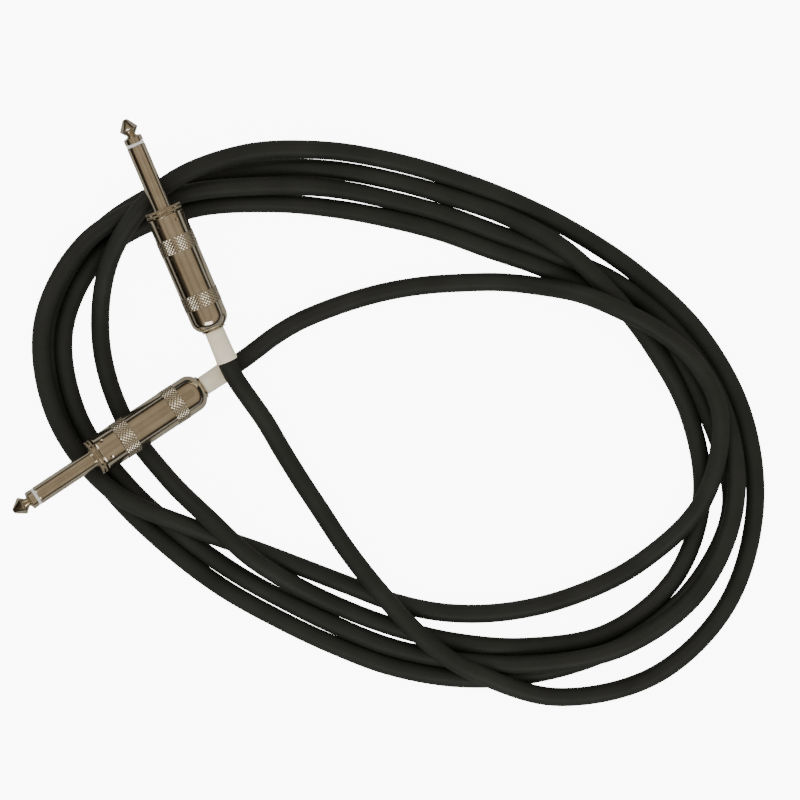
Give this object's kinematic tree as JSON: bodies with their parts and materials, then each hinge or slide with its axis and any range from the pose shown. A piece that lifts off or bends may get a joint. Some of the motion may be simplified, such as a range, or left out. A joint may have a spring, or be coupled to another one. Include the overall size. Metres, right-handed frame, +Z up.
{
  "type": "instrument cable",
  "caption": "Coiled instrument cable with straight metal phone plugs, knurled screw-on handles and cream strain relief sleeves.",
  "frame": {"origin": "on the surface that the cable lies on, below the middle of the whole object's box", "axes": "+Z up off the surface, +X along the coil's long way, away from the plugs, and +Y across the coil toward the raised tip of plug A"},
  "size_m": [0.2514, 0.196, 0.0279],
  "materials": {
    "nickel": "bright nickel plate, lightly worn",
    "brass": "bare stamped brass",
    "jacket": "matte black cable jacket",
    "sleeve_plastic": "cream flexible plastic",
    "insulator_plastic": "white moulded insulator",
    "phenolic": "brown pressed fibre",
    "liner_plastic": "off-white insulating tube",
    "copper": "bare copper strands",
    "tinned": "tinned stamping",
    "core_plastic": "white core insulation",
    "solder": "bright solder"
  },
  "bodies": {
    "cable": {"cable_coil": "jacket", "cable_lead_a": "jacket", "cable_lead_b": "jacket", "cable_left_turn": "jacket", "cable_top_turn": "jacket", "cable_right_turn": "jacket", "plug_a_tip": "nickel", "plug_a_tip_insulator": "insulator_plastic", "plug_a_finger": "nickel", "plug_a_flange": "nickel", "plug_a_ground_lug": "tinned", "plug_a_fibre_washer": "phenolic", "plug_a_tip_lug": "brass", "plug_a_tip_solder": "solder", "plug_a_ground_solder": "solder", "plug_a_conductor": "copper", "plug_a_shield_pigtail": "tinned", "plug_a_inner_core": "core_plastic", "plug_a_cable_end": "jacket", "plug_b_tip": "nickel", "plug_b_tip_insulator": "insulator_plastic", "plug_b_finger": "nickel", "plug_b_flange": "nickel", "plug_b_ground_lug": "tinned", "plug_b_fibre_washer": "phenolic", "plug_b_tip_lug": "brass", "plug_b_tip_solder": "solder", "plug_b_ground_solder": "solder", "plug_b_conductor": "copper", "plug_b_shield_pigtail": "tinned", "plug_b_inner_core": "core_plastic", "plug_b_cable_end": "jacket"},
    "plug_a_rear": {"plug_a_liner": "liner_plastic", "plug_a_strain_sleeve": "sleeve_plastic"},
    "plug_a_shell": {"plug_a_handle": "nickel"},
    "plug_b_rear": {"plug_b_liner": "liner_plastic", "plug_b_strain_sleeve": "sleeve_plastic"},
    "plug_b_shell": {"plug_b_handle": "nickel"}
  },
  "joints": [
    {"name": "plug_a_slide", "type": "slide", "parent": "cable", "child": "plug_a_rear", "axis": [0.3806, -0.9142, -0.1392], "range_m": [0, 0.004]},
    {"name": "plug_a_unscrew", "type": "hinge", "parent": "plug_a_rear", "child": "plug_a_shell", "pos_m": [-0.0764, 0.0691, 0.0208], "axis": [0.3806, -0.9142, -0.1392], "range_deg": [0, 1800]},
    {"name": "plug_b_slide", "type": "slide", "parent": "cable", "child": "plug_b_rear", "axis": [0.8109, 0.547, -0.2079], "range_m": [0, 0.004]},
    {"name": "plug_b_unscrew", "type": "hinge", "parent": "plug_b_rear", "child": "plug_b_shell", "pos_m": [-0.0998, -0.0142, 0.0165], "axis": [0.8109, 0.547, -0.2079], "range_deg": [0, 1800]}
  ],
  "couplings": [
    {"joint": "plug_a_slide", "follows": "plug_a_unscrew", "m_per_rad": 0.00012732},
    {"joint": "plug_b_slide", "follows": "plug_b_unscrew", "m_per_rad": 0.00012732}
  ]
}
